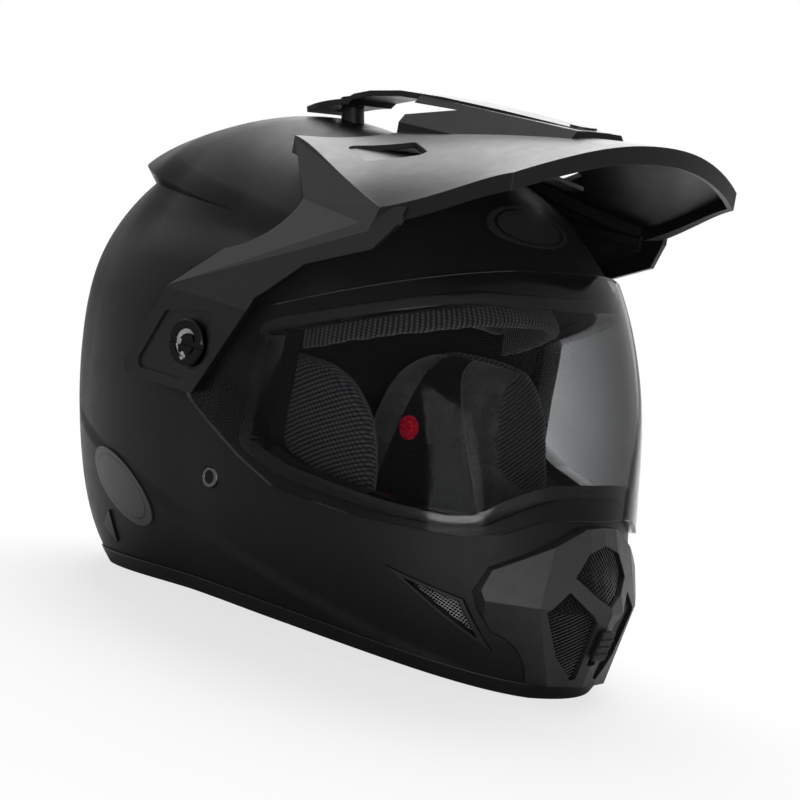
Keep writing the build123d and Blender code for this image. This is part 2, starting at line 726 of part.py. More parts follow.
# Chin vent
housing_levels = [
    (0.024, [(0, -0.466), (-0.085, -0.463), (-0.188, -0.455), (-0.274, -0.415), (-0.256, -0.341),
        (0, -0.341)]),
    (0.136, [(0, -0.497), (-0.094, -0.49), (-0.316, -0.452), (-0.53, -0.395), (-0.479, -0.33),
        (0, -0.33)]),
    (0.25, [(0, -0.455), (-0.085, -0.453), (-0.222, -0.438), (-0.376, -0.406), (-0.342, -0.341),
        (0, -0.341)])]
housing_front_shares = [(0, 0.25), (-0.103, 0.247), (-0.53, 0.168), (-0.479, 0.114), (-0.291, 0.024),
    (0, 0.024)]
near_window_shares = [(-0.282, 0.131), (-0.188, 0.162), (-0.056, 0.122), (-0.056, 0.037),
    (-0.085, 0.034), (-0.188, 0.068)]
top_window_shares = [(0, 0.145), (-0.077, 0.159), (-0.162, 0.182), (-0.094, 0.216), (0, 0.227)]


def housing_form(inset):
    faces = []
    for number, (z_share, shares) in enumerate(housing_levels):
        face = outline_face(mirrored(plan_points(shares)))
        if inset:
            face = offset(face, amount=-inset, kind=Kind.INTERSECTION)
        lift = inset * (1 - number)
        faces.append(Plane.XY.offset(z_share * shell_length + lift) * face)
    front = outline_face(mirrored(front_points(housing_front_shares)))
    if inset:
        front = offset(front, amount=-inset, kind=Kind.INTERSECTION)
    far = far_share * shell_length
    return loft(faces, ruled=True) & front_slab(front, -far, -far / 2)


def window_faces():
    near = front_points(near_window_shares)
    far = [(-across, up) for across, up in near]
    top = mirrored(front_points(top_window_shares))
    return [outline_face(points) for points in (near, far, top)]


def hole_grid(face, depth_low, depth_high):
    """Round holes in a staggered grid, along Y, inside a face of the front view."""
    box = face.bounding_box()
    rows = int((box.max.Y - box.min.Y) / (mesh_pitch * mesh_row_share)) + 1
    columns = int((box.max.X - box.min.X) / mesh_pitch) + 1
    holes = []
    for row in range(rows):
        up = box.min.Y + row * mesh_pitch * mesh_row_share
        for column in range(columns):
            across = box.min.X + (column + row % 2 / 2) * mesh_pitch
            if face.face().is_inside(Vector(across, up, 0), tolerance=tiny):
                holes.append(Pos(across, up) * Circle(mesh_hole / 2))
    return front_slab(Sketch(children=holes), depth_low, depth_high)


def stem_plane():
    """Plane on the housing's front stem: its Y runs up the stem, its Z stands off it."""
    low_y, low_z = housing_levels[0][1][0][1] * shell_length, housing_levels[0][0] * shell_length
    high_y, high_z = housing_levels[1][1][0][1] * shell_length, housing_levels[1][0] * shell_length
    run, rise = high_y - low_y, high_z - low_z
    length = hypot(run, rise)
    return Plane(origin=(0, low_y + run * slider_place_share, low_z + rise * slider_place_share),
                 x_dir=(1, 0, 0), z_dir=(0, -rise / length, run / length))


def stem_block(width, height, low, high, drop=0.0):
    """Upright block on the stem, between two depths, moved down the stem by drop."""
    block = Box(width, height, high - low, align=(Align.CENTER, Align.CENTER, Align.MIN))
    return stem_plane() * (Pos(0, -drop, low) * block)


def slider_slot():
    height = slider_height / 2 + slider_travel + 2 * slider_gap
    return stem_block(slider_width / 2 + 2 * slider_gap, height, -housing_depth(), slider_depth,
                      slider_travel / 2)


def housing_depth():
    return housing_wall + ridge_clearance + 2 * mesh_sheet


def make_chin_housing():
    solid = housing_form(0) - housing_form(housing_wall)
    far = far_share * shell_length
    for face in window_faces():
        solid -= front_slab(face, -far, -far / 2)
    solid -= body_form(-seat_gap)
    solid -= slider_slot()
    return max(solid.solids(), key=lambda s: s.volume)


def make_chin_mesh():
    start = housing_wall + seat_gap / 4
    sheet = housing_form(start) - housing_form(start + mesh_sheet) - body_form(-seat_gap)
    far = far_share * shell_length
    for face in window_faces():
        sheet -= hole_grid(face, -far, -far / 2)
    foot_height = slider_height + slider_travel + 2 * slider_gap
    sheet -= stem_block(slider_width + 2 * slider_gap, foot_height,
                        -2 * housing_depth(), slider_depth, slider_travel / 2)
    return max(sheet.solids(), key=lambda s: s.volume)


def make_chin_slider():
    """Thumb block outside, neck through the stem's slot, foot inside."""
    block = stem_block(slider_width, slider_height, slider_gap, slider_depth)
    block = chamfer(block.edges(), slider_gap)
    top = -housing_wall - ridge_clearance
    neck = stem_block(slider_width / 2, slider_height / 2, top, slider_depth / 2)
    foot = stem_block(slider_width - slider_gap, slider_height * foot_share, top - mesh_sheet, top)
    solid = block + neck + foot
    for step in (-1, 0, 1):
        solid += stem_block(slider_width * rib_share, slider_rib, slider_depth / 2,
                            slider_depth + slider_rib, step * slider_height / 4)
    return solid


# Side vents
def make_side_vent(outline_inset, outer, inner):
    """Piece of the chin's side wall inside the vent outline, between two insets of the form."""
    face = outline_face(side_points(side_vent_shares))
    side = side_slab(offset(face, amount=-outline_inset, kind=Kind.INTERSECTION), -shell_half_width, 0)
    return (body_form(outer) - body_form(inner)) & side


def make_side_bezel():
    frame = make_side_vent(seat_gap / 2, -trim_proud, bezel_depth)
    hole = make_side_vent(bezel_width, -2 * trim_proud, 2 * bezel_depth)
    return frame - hole


def make_side_mesh():
    """Holed sheet behind the bezel, its holes where the bezel is open."""
    start = bezel_depth + seat_gap / 4
    sheet = make_side_vent(seat_gap / 2, start, start + mesh_sheet)
    face = offset(outline_face(side_points(side_vent_shares)), amount=-bezel_width - side_mesh_hole / 2,
                  kind=Kind.INTERSECTION)
    box = face.bounding_box()
    rows = int((box.max.Y - box.min.Y) / side_mesh_pitch) + 1
    columns = int((box.max.X - box.min.X) / side_mesh_pitch) + 1
    for row in range(rows):
        for column in range(columns):
            along, up = box.min.X + column * side_mesh_pitch, box.min.Y + row * side_mesh_pitch
            if face.face().is_inside(Vector(along, up, 0), tolerance=tiny):
                sheet -= side_slab(Pos(along, up) * Circle(side_mesh_hole / 2), -shell_half_width, 0)
    return sheet


# Plates on the shell
rear_vent_shares = [(0.233, 0.062), (0.27, 0.077), (0.244, 0.108)]
side_badge_centre_share = (0.205, 0.153)
side_badge_axes_share = (0.08, 0.038)
side_badge_tilt = 25
forehead_centre_share = (0, -0.224, 0.634)
forehead_axes_share = (0.248, 0.038)
forehead_tilt_share = 0.62
peak_badge_centre_share = (0, -0.287, 0.788)
peak_badge_axes_share = (0.068, 0.017)


def plate_on_form(prism):
    """Thin plate that follows the outer form inside a prism."""
    gap = seat_gap / 4
    skin = body_form(-gap - badge_thickness) - body_form(-gap)
    plate = skin & prism
    return max(plate.solids(), key=lambda s: s.volume)


def make_rear_vent():
    face = outline_face(side_points(rear_vent_shares))
    return plate_on_form(side_slab(face, -shell_half_width * 2, 0))


def make_side_badge():
    centre_y, centre_z = (share * shell_length for share in side_badge_centre_share)
    long, short = (share * shell_length for share in side_badge_axes_share)
    face = Pos(centre_y, centre_z) * (Rot(0, 0, side_badge_tilt) * Ellipse(long, short))
    return plate_on_form(side_slab(face, -shell_half_width * 2, 0))


def make_forehead_badge():
    wide, high = forehead_axes_share[0] * shell_half_width, forehead_axes_share[1] * shell_length
    centre = place(forehead_centre_share)
    plane = Plane(origin=centre, x_dir=(1, 0, 0), z_dir=(0, -1, forehead_tilt_share))
    return plate_on_form(extrude(plane * Ellipse(wide, high), amount=high, both=True))


def make_peak_badge():
    wide, high = peak_badge_axes_share[0] * shell_half_width, peak_badge_axes_share[1] * shell_length
    (y_a, z_a), (y_b, z_b) = side_points(roof_top_shares)[:2]
    plane = Plane(origin=place(peak_badge_centre_share), x_dir=(1, 0, 0), z_dir=(0, z_a - z_b, y_b - y_a))
    return extrude(plane * Ellipse(wide, high), amount=badge_thickness)


# Straps
def make_strap():
    """Right strap: from under the rivet, below the cheek pad and up inside the opening."""
    return strap_band(strap_thickness, strap_width) - make_rivet(pin_gap)


def loop_centre():
    """Middle of the loop at the strap's end, in the front view."""
    (x_a, z_a), (x_b, z_b) = front_points(strap_path_shares)[-2:]
    length = hypot(x_b - x_a, z_b - z_a)
    reach = ring_wire + ring_gap + strap_thickness / 2
    return x_b + (x_b - x_a) / length * reach, z_b + (z_b - z_a) / length * reach


def make_loop_strap():
    """Right strap with the sewn loop that holds the rings."""
    centre_y = strap_centre_share * shell_length
    low, high = centre_y - strap_width / 2, centre_y + strap_width / 2
    inner = ring_wire + ring_gap
    disc = Pos(*loop_centre()) * Circle(inner + strap_thickness)
    hole = Pos(*loop_centre()) * Circle(inner)
    return make_strap() + front_slab(disc, low, high) - front_slab(hole, low, high)


def make_ring(side):
    """One wire ring hanging from the loop, its upper bar inside the loop."""
    centre_x, centre_z = loop_centre()
    wide, high = ring_inner_width + ring_wire, ring_inner_height + ring_wire
    shift = side * (ring_wire + ring_gap / 2) / 2
    plane = Plane(origin=(centre_x + shift, strap_centre_share * shell_length, centre_z - high / 2),
                  x_dir=(0, 1, 0), z_dir=(1, 0, 0))
    path = (plane * RectangleRounded(wide, high, ring_wire)).wire()
    start = path.position_at(0)
    section = Plane(origin=start, z_dir=path.tangent_at(0)) * Circle(ring_wire / 2)
    return sweep(section, path=path)


snap_share = (0, 0.062, 0.278)


def make_snap():
    """Stud of the strap's snap, on the face of the left cheek pad."""
    centre = place(snap_share)
    back_x = -cheek_layer_shares[-1][0] * shell_half_width - pin_gap
    disc = Pos(centre.Y, centre.Z) * Circle(snap_radius)
    stud = Pos(centre.Y, centre.Z) * Circle(snap_radius / 2)
    return side_slab(disc, back_x - snap_height / 2, back_x) + side_slab(stud, back_x - snap_height, back_x)


def main():
    outer = body_form(0) + crown_rear()
    liner, chin_liner = make_liners()
    cheek = make_cheek_pad()
    snap = make_snap()
    pieces = {
        "shell": make_shell(outer),
        "base_trim": make_edge_trim(),
        "eyeport_gasket": make_gasket(),
        "eps_liner": liner,
        "eps_chin": chin_liner,
        "crown_pad": make_crown_pad(),
        "brow_pad": make_brow_pad(),
        "neck_roll": make_neck_roll(),
        "chin_vent_housing": make_chin_housing(),
        "chin_vent_mesh": make_chin_mesh(),
        "chin_vent_slider": make_chin_slider(),
        "forehead_badge": make_forehead_badge(),
        "peak": make_peak(),
        "peak_badge": make_peak_badge(),
        "peak_screw": make_peak_screw(),
        "peak_screw_spacer": make_peak_spacer(),
        "shield": make_shield(),
        "strap_snap": snap,
        "strap_right": make_loop_strap(),
        "strap_left": make_strap().mirror(Plane.YZ),
        "d_ring_inner": make_ring(1),
        "d_ring_outer": make_ring(-1),
    }
    pairs = {
        "cheek_pad": cheek,
        "side_vent_bezel": make_side_bezel(),
        "side_vent_mesh": make_side_mesh(),
        "rear_vent": make_rear_vent(),
        "side_badge": make_side_badge(),
        "shield_pivot": make_pivot_base(),
        "knob": make_knob(),
        "strap_rivet": make_rivet(0),
        "strap_anchor": make_strap_anchor(0) - make_rivet(pin_gap),
    }
    for name, solid in pairs.items():
        pieces[name + "_right"] = solid
        pieces[name + "_left"] = solid.mirror(Plane.YZ)
    for name, shape in pieces.items():
        export_step(shape, "parts/" + name + ".step")


main()
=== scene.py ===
import bpy, bmesh, json
from math import radians, cos, sin, pi, exp
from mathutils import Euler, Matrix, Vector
from mathutils.bvhtree import BVHTree

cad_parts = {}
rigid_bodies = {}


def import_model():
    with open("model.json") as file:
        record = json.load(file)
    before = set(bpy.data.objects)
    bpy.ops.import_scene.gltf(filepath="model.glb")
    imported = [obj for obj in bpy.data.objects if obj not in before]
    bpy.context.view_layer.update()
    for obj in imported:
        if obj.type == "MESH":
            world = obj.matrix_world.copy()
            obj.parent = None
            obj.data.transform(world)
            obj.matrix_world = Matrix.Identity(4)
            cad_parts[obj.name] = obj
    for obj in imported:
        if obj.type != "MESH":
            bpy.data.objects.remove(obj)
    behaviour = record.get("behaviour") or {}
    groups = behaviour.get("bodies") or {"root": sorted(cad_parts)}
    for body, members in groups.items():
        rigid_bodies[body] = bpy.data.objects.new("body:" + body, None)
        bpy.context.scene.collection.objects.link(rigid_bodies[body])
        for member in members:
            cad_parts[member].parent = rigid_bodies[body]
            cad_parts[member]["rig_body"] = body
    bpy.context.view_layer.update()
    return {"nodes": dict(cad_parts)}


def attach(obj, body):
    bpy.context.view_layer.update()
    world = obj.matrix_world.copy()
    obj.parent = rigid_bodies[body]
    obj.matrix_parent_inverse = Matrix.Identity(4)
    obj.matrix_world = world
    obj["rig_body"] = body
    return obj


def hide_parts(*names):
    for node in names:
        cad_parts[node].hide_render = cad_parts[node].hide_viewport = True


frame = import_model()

# Dual sport helmet in satin black. Metres, standing on z = 0, face towards -Y.
scene = bpy.context.scene
print("frame loaded:", len(frame["nodes"]), "nodes")

# The camera looks at the wearer's right front from just above the chin.
cameraSetup = {
    "azimuth": -48.51,        # degrees round the helmet from straight in front
    "elevation": 7.73,
    "roll": 10.09,            # leans the helmet forward in the frame
    "target": (-0.0147, -0.0263, 0.1225),
    "distance": 1.9436,
    "lens": 171.5,
    "sensor": 36.0,
}


def makeCamera(setup):
    az, el = radians(setup["azimuth"]), radians(setup["elevation"])
    back = Vector((sin(az) * cos(el), -cos(az) * cos(el), sin(el)))
    data = bpy.data.cameras.new("camera")
    data.lens, data.sensor_width = setup["lens"], setup["sensor"]
    camera = bpy.data.objects.new("camera", data)
    scene.collection.objects.link(camera)
    camera.rotation_mode = "QUATERNION"
    lean = Euler((0, 0, radians(setup["roll"]))).to_quaternion()
    camera.rotation_quaternion = (-back).to_track_quat("-Z", "Y") @ lean
    camera.location = Vector(setup["target"]) + back * setup["distance"]
    scene.camera = camera


makeCamera(cameraSetup)
scene.view_settings.view_transform = "Standard"

# White sweep, a wide lamp overhead and weaker ones at the sides.
studio = {
    "worldLevel": 0.14,       # diffuse light of the room
    "floorColour": (0.84, 0.84, 0.85),
    "floorGlow": (0.74, 1.0), # share of the paper that shows as plain white, near and far
    "floorReach": (0.22, 0.62),
    "floorHalf": 12.0,
    "lamps": [                # name, size, watts, place, aim
        ("softbox", 1.4, 42.0, (0.60, 0.50, 1.60), (0.0, 0.0, 0.2)),
        ("backPanel", 1.1, 8.5, (1.30, 0.95, 0.85), (0.0, -0.08, 0.24)),
        ("frontFill", 0.9, 1.5, (-0.45, -1.8, 0.60), (0.0, -0.05, 0.12)),
        ("lowFill", 1.0, 34.0, (-1.75, -1.85, 0.20), (0.0, 0.0, 0.05)),
    ],
}


def emptyTree(owner):
    owner.use_nodes = True
    owner.node_tree.nodes.clear()
    return owner.node_tree


def addNode(tree, kind, settings=None, **values):
    node = tree.nodes.new(kind)
    for key, value in (settings or {}).items():
        setattr(node, key, value)
    for key, value in values.items():
        node.inputs[key.replace("_", " ")].default_value = value
    return node


def makeWorld(setup):
    world = bpy.data.worlds.new("studio")
    scene.world = world
    tree = emptyTree(world)
    path = addNode(tree, "ShaderNodeLightPath")
    seen = combine(tree, "MAXIMUM", path.outputs["Is Camera Ray"], path.outputs["Is Glossy Ray"])
    seen = combine(tree, "MAXIMUM", seen, path.outputs["Is Transmission Ray"])
    level = remap(tree, seen, setup["worldLevel"], 1.0, 0.0, 1.0)
    sky = addNode(tree, "ShaderNodeBackground", Color=(1, 1, 1, 1))
    out = addNode(tree, "ShaderNodeOutputWorld")
    tree.links.new(level, sky.inputs["Strength"])
    tree.links.new(sky.outputs["Background"], out.inputs["Surface"])


def makeFloor(setup):
    bm = bmesh.new()
    bmesh.ops.create_grid(bm, x_segments=1, y_segments=1, size=setup["floorHalf"])
    floor = linkMesh("floor", bm)
    material = bpy.data.materials.new("floorPaper")
    tree = emptyTree(material)
    paper = addNode(tree, "ShaderNodeBsdfDiffuse", Color=(*setup["floorColour"], 1))
    glow = addNode(tree, "ShaderNodeEmission", Color=(1, 1, 1, 1), Strength=1.0)
    path = addNode(tree, "ShaderNodeLightPath")
    reach = addNode(tree, "ShaderNodeVectorMath", {"operation": "LENGTH"})
    tree.links.new(addNode(tree, "ShaderNodeTexCoord").outputs["Object"], reach.inputs[0])
    share = remap(tree, reach.outputs["Value"], *setup["floorGlow"], *setup["floorReach"])
    lift = combine(tree, "MULTIPLY", path.outputs["Is Camera Ray"], share)
    mix = addNode(tree, "ShaderNodeMixShader")
    out = addNode(tree, "ShaderNodeOutputMaterial")
    tree.links.new(lift, mix.inputs[0])
    tree.links.new(paper.outputs[0], mix.inputs[1])
    tree.links.new(glow.outputs[0], mix.inputs[2])
    tree.links.new(mix.outputs[0], out.inputs["Surface"])
    floor.data.materials.append(material)


def makeLamps(setup):
    for name, size, watts, place, aim in setup["lamps"]:
        data = bpy.data.lights.new(name, "AREA")
        data.shape, data.size, data.energy = "SQUARE", size, watts
        lamp = bpy.data.objects.new(name, data)
        lamp.location = place
        lamp.rotation_mode = "QUATERNION"
        lamp.rotation_quaternion = (Vector(aim) - Vector(place)).to_track_quat("-Z", "Y")
        scene.collection.objects.link(lamp)


# Small helpers for the finishes. Every pattern reads Object coordinates, which are metres here.
def startFinish(name, colour, roughness, specular=0.5):
    material = bpy.data.materials.new(name)
    tree = emptyTree(material)
    shader = addNode(tree, "ShaderNodeBsdfPrincipled", Base_Color=(*colour, 1), Roughness=roughness)
    shader.inputs["Specular IOR Level"].default_value = specular
    out = addNode(tree, "ShaderNodeOutputMaterial")
    tree.links.new(shader.outputs[0], out.inputs["Surface"])
    place = addNode(tree, "ShaderNodeTexCoord").outputs["Object"]
    return material, tree, shader, place


def noiseField(tree, place, scale, detail=3.0):
    noise = addNode(tree, "ShaderNodeTexNoise", Scale=scale, Detail=detail)
    tree.links.new(place, noise.inputs["Vector"])
    return noise.outputs["Fac"]


def remap(tree, field, low, high, fromLow=0.3, fromHigh=0.7):
    node = addNode(tree, "ShaderNodeMapRange")
    for key, value in (("From Min", fromLow), ("From Max", fromHigh), ("To Min", low), ("To Max", high)):
        node.inputs[key].default_value = value
    tree.links.new(field, node.inputs["Value"])
    return node.outputs["Result"]


def combine(tree, operation, *fields):
    node = addNode(tree, "ShaderNodeMath", {"operation": operation})
    for socket, field in zip(node.inputs, fields):
        if isinstance(field, (int, float)):
            socket.default_value = field
        else:
            tree.links.new(field, socket)
    return node.outputs[0]


def tint(tree, field, dark, light):
    ramp = addNode(tree, "ShaderNodeValToRGB")
    ramp.color_ramp.elements[0].color = (*dark, 1)
    ramp.color_ramp.elements[1].color = (*light, 1)
    tree.links.new(field, ramp.inputs["Fac"])
    return ramp.outputs["Color"]


def relief(tree, shader, field, height, strength=1.0):
    bump = addNode(tree, "ShaderNodeBump", {"invert": height < 0}, Strength=strength, Distance=abs(height))
    tree.links.new(field, bump.inputs["Height"])
    below = [link.from_socket for link in tree.links if link.to_socket == shader.inputs["Normal"]]
    if below:
        tree.links.new(below[0], bump.inputs["Normal"])
    tree.links.new(bump.outputs["Normal"], shader.inputs["Normal"])


def turned(tree, place, angles=(0, 0, 0), stretch=(1, 1, 1)):
    mapping = addNode(tree, "ShaderNodeMapping", Scale=stretch)
    mapping.inputs["Rotation"].default_value = [radians(a) for a in angles]
    tree.links.new(place, mapping.inputs["Vector"])
    return mapping.outputs["Vector"]


def ribs(tree, place, pitch, direction="X"):
    wave = addNode(tree, "ShaderNodeTexWave", {"wave_type": "BANDS", "bands_direction": direction})
    wave.inputs["Scale"].default_value = pi / (10 * pitch)      # gives one band in each pitch
    tree.links.new(place, wave.inputs["Vector"])
    return wave.outputs["Fac"]


# Small helpers for the meshes
weldReach = 0.00002


def linkMesh(name, bm):
    mesh = bpy.data.meshes.new(name)
    bm.to_mesh(mesh)
    bm.free()
    piece = bpy.data.objects.new(name, mesh)
    scene.collection.objects.link(piece)
    return piece


def mergedCopy(node, name):
    bm = bmesh.new()
    bm.from_mesh(frame["nodes"][node].data)
    bmesh.ops.remove_doubles(bm, verts=bm.verts, dist=weldReach)
    return linkMesh(name, bm)


def settleModifiers(piece):
    graph = bpy.context.evaluated_depsgraph_get()
    mesh = bpy.data.meshes.new_from_object(piece.evaluated_get(graph))
    piece.modifiers.clear()
    piece.data = mesh


def smoothShade(piece):
    for face in piece.data.polygons:
        face.use_smooth = True


def setFinish(piece, material):
    piece.data.materials.clear()
    piece.data.materials.append(material)


def dress(material, *names):
    for name in names:
        for slot in frame["nodes"][name].material_slots:
            slot.material = material


def bothSides(name):
    return name + "_right", name + "_left"


makeWorld(studio)
makeFloor(studio)
makeLamps(studio)
print("studio ready")

# Painted and moulded plastics
shellLook = {"colour": (0.0080, 0.0080, 0.0082), "light": (0.0105, 0.0105, 0.0107), "roughness": (0.42, 0.48),
             "specular": 0.09, "grain": 5200.0, "grainHeight": 0.000012, "ripple": 95.0, "rippleHeight": 0.00004}
peakLook = {"colour": (0.0036, 0.0036, 0.0037), "light": (0.0052, 0.0052, 0.0053), "roughness": (0.33, 0.39),
            "specular": 0.20, "grain": 4200.0, "grainHeight": 0.000018, "ripple": 120.0, "rippleHeight": 0.00003}
mouldingLook = {"colour": (0.0055, 0.0055, 0.0057), "light": (0.0078, 0.0078, 0.0081), "roughness": (0.36, 0.46),
                "specular": 0.18, "grain": 3000.0, "grainHeight": 0.00003, "ripple": 200.0, "rippleHeight": 0.00002}
housingLook = {"colour": (0.0085, 0.0085, 0.0087), "light": (0.0115, 0.0115, 0.0118), "roughness": (0.40, 0.50),
               "specular": 0.35, "grain": 3000.0, "grainHeight": 0.00003, "ripple": 200.0, "rippleHeight": 0.00002}
badgeLook = {"colour": (0.022, 0.022, 0.023), "light": (0.028, 0.028, 0.029), "roughness": (0.30, 0.38),
             "specular": 0.25, "grain": 2600.0, "grainHeight": 0.00001, "ripple": 150.0, "rippleHeight": 0.00002}
foamLook = {"colour": (0.008, 0.008, 0.0083), "light": (0.014, 0.014, 0.0145), "roughness": (0.85, 0.95),
            "specular": 0.06, "grain": 300.0, "grainHeight": 0.00006, "ripple": 60.0, "rippleHeight": 0.0001}
moulding = {"edge": 0.0007, "rippleStrength": 0.35, "grainStrength": 0.8, "grainDetail": 2.0}

# Pressed lines of the shell: height where y = 0, slope, width, drop, and the stretch of y that has them
shellLines = {
    "lowerBand": (0.0449, 0.2688, 0.005, -0.0028, (-0.150, -0.120, 0.115, 0.150)),
    "crownEdge": (0.2025, 0.1000, 0.009, 0.0085, (-0.030, 0.010, 0.110, 0.150)),
    "crownFoot": (0.1880, -0.0500, 0.012, -0.0070, (-0.030, 0.010, 0.080, 0.120)),
}


def pressedLine(tree, place, height, slope, width, stretch):
    axes = addNode(tree, "ShaderNodeSeparateXYZ")
    tree.links.new(place, axes.inputs[0])
    line = combine(tree, "MULTIPLY_ADD", axes.outputs["Y"], slope, height)
    step = softStep(tree, combine(tree, "SUBTRACT", axes.outputs["Z"], line), -width, width)
    begins = softStep(tree, axes.outputs["Y"], stretch[0], stretch[1])
    ends = softStep(tree, axes.outputs["Y"], stretch[3], stretch[2])
    return combine(tree, "MULTIPLY", step, combine(tree, "MULTIPLY", begins, ends))


def softStep(tree, field, low, high):
    node = addNode(tree, "ShaderNodeMapRange", {"interpolation_type": "SMOOTHSTEP"})
    node.inputs["From Min"].default_value, node.inputs["From Max"].default_value = min(low, high), max(low, high)
    node.inputs["To Min"].default_value, node.inputs["To Max"].default_value = (0, 1) if low < high else (1, 0)
    tree.links.new(field, node.inputs["Value"])
    return node.outputs["Result"]


def plasticFinish(name, look, lines=()):
    material, tree, shader, place = startFinish(name, look["colour"], look["roughness"][0], look["specular"])
    rounded = addNode(tree, "ShaderNodeBevel", {"samples": 4}, Radius=moulding["edge"])
    tree.links.new(rounded.outputs[0], shader.inputs["Normal"])
    for height, slope, width, drop, stretch in lines:
        relief(tree, shader, pressedLine(tree, place, height, slope, width, stretch), drop)
    broad = noiseField(tree, place, look["ripple"])
    fine = noiseField(tree, place, look["grain"], moulding["grainDetail"])
    tree.links.new(tint(tree, broad, look["colour"], look["light"]), shader.inputs["Base Color"])
    tree.links.new(remap(tree, broad, *look["roughness"]), shader.inputs["Roughness"])
    relief(tree, shader, broad, look["rippleHeight"], moulding["rippleStrength"])
    relief(tree, shader, fine, look["grainHeight"], moulding["grainStrength"])
    return material


dress(plasticFinish("shellPaint", shellLook, shellLines.values()), "shell")
dress(plasticFinish("peakPlastic", peakLook), "peak")
dress(plasticFinish("mouldedPlastic", mouldingLook), "chin_vent_slider", "peak_screw_spacer",
      *bothSides("side_vent_bezel"), *bothSides("rear_vent"), *bothSides("shield_pivot"))
dress(plasticFinish("housingPlastic", housingLook), "chin_vent_housing")
dress(plasticFinish("foamPaint", foamLook), "eps_liner", "eps_chin")

# Bare badge plates: middle, turn about X in degrees, half axes of the oval
endless = 1000.0            # as a half axis, it leaves that axis out
badgePlates = {
    "forehead_badge": ((0, -0.079, 0.223), -31, (0.029, endless, 0.0135)),
    "peak_badge": ((0, -0.101, 0.2773), 0, (0.008, 0.006, endless)),
    "side_badge_right": ((0, 0.072, 0.054), 25, (endless, 0.028, 0.0135)),
    "side_badge_left": ((0, 0.072, 0.054), 25, (endless, 0.028, 0.0135)),
}
rimLook = {"line": 0.82, "width": 0.035, "colour": (0.006, 0.006, 0.0062), "depth": -0.0003, "strength": 0.8}


def distanceFrom(tree, place, centre, turn, axes):
    mapping = addNode(tree, "ShaderNodeMapping", {"vector_type": "TEXTURE"}, Location=centre, Scale=axes)
    mapping.inputs["Rotation"].default_value = (radians(turn), 0, 0)
    tree.links.new(place, mapping.inputs["Vector"])
    reach = addNode(tree, "ShaderNodeVectorMath", {"operation": "LENGTH"})
    tree.links.new(mapping.outputs["Vector"], reach.inputs[0])
    return reach.outputs["Value"]


def badgeFinish(node, centre, turn, axes):
    look = badgeLook
    material, tree, shader, place = startFinish(node + "Plate", look["colour"], look["roughness"][0], look["specular"])
    broad = noiseField(tree, place, look["ripple"])
    line = combine(tree, "COMPARE", distanceFrom(tree, place, centre, turn, axes), rimLook["line"], rimLook["width"])
    mix = addNode(tree, "ShaderNodeMixRGB")
    mix.inputs[2].default_value = (*rimLook["colour"], 1)
    tree.links.new(line, mix.inputs[0])
    tree.links.new(tint(tree, broad, look["colour"], look["light"]), mix.inputs[1])
    tree.links.new(mix.outputs[0], shader.inputs["Base Color"])
    tree.links.new(remap(tree, broad, *look["roughness"]), shader.inputs["Roughness"])
    relief(tree, shader, line, rimLook["depth"], rimLook["strength"])
    fine = noiseField(tree, place, look["grain"], moulding["grainDetail"])
    relief(tree, shader, fine, look["grainHeight"], moulding["grainStrength"])
    return material


for name, plate in badgePlates.items():
    dress(badgeFinish(name, *plate), name)

# Rubber edges: glossy lip round the eyeport, duller trim at the base
rubberLook = {"colour": (0.0022, 0.0022, 0.0023), "roughness": (0.10, 0.17), "trimRoughness": (0.42, 0.55),
              "specular": 0.30, "edge": 0.0014, "bead": 0.0011, "cuts": 3, "grain": 900.0}
rolling = {"flat": 1, "sharp": 50}      # degrees between faces that are merged, and that get a rolled edge


def rubberFinish(name, look, roughness):
    material, tree, shader, place = startFinish(name, look["colour"], roughness[0], look["specular"])
    rounded = addNode(tree, "ShaderNodeBevel", {"samples": 10}, Radius=look["edge"])
    tree.links.new(rounded.outputs[0], shader.inputs["Normal"])
    grain = noiseField(tree, place, look["grain"])
    tree.links.new(remap(tree, grain, *roughness), shader.inputs["Roughness"])
    tree.links.new(tint(tree, grain, look["colour"], [2 * c for c in look["colour"]]), shader.inputs["Base Color"])
    return material


def roundedCopy(node, name, edge, cuts, finish):     # a node's mesh with its sharp edges rolled over
    piece = mergedCopy(node, name)
    bm = bmesh.new()
    bm.from_mesh(piece.data)
    bmesh.ops.dissolve_limit(bm, angle_limit=radians(rolling["flat"]), verts=bm.verts, edges=bm.edges)
    sharp = [line for line in bm.edges
             if len(line.link_faces) == 2 and line.calc_face_angle() > radians(rolling["sharp"])]
    bmesh.ops.bevel(bm, geom=sharp, offset=edge, affect="EDGES", segments=cuts, profile=0.5, material=-1,
                    clamp_overlap=True)
    bm.to_mesh(piece.data)
    bm.free()
    smoothShade(piece)
    setFinish(piece, finish)
    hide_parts(node)
    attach(piece, frame["nodes"][node]["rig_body"])
    return piece


lipRubber = rubberFinish("lipRubber", rubberLook, rubberLook["roughness"])
roundedCopy("eyeport_gasket", "lipBead", rubberLook["bead"], rubberLook["cuts"], lipRubber)
dress(rubberFinish("trimRubber", rubberLook, rubberLook["trimRoughness"]), "base_trim")

# Metals
metalLook = {
    "darkPlating": {"colour": (0.012, 0.012, 0.0125), "roughness": (0.24, 0.36), "brush": 900.0},
    "polishedSteel": {"colour": (0.55, 0.55, 0.56), "roughness": (0.16, 0.30), "brush": 1400.0},
    "grilleMetal": {"colour": (0.82, 0.82, 0.825), "roughness": (0.32, 0.5), "brush": 700.0},
    "blackMesh": {"colour": (0.075, 0.075, 0.076), "roughness": (0.40, 0.55), "brush": 700.0},
}
brushing = {"stretch": (1, 1, 0.12), "detail": 4.0, "shades": (0.75, 1.2), "height": 0.00001, "strength": 0.3}


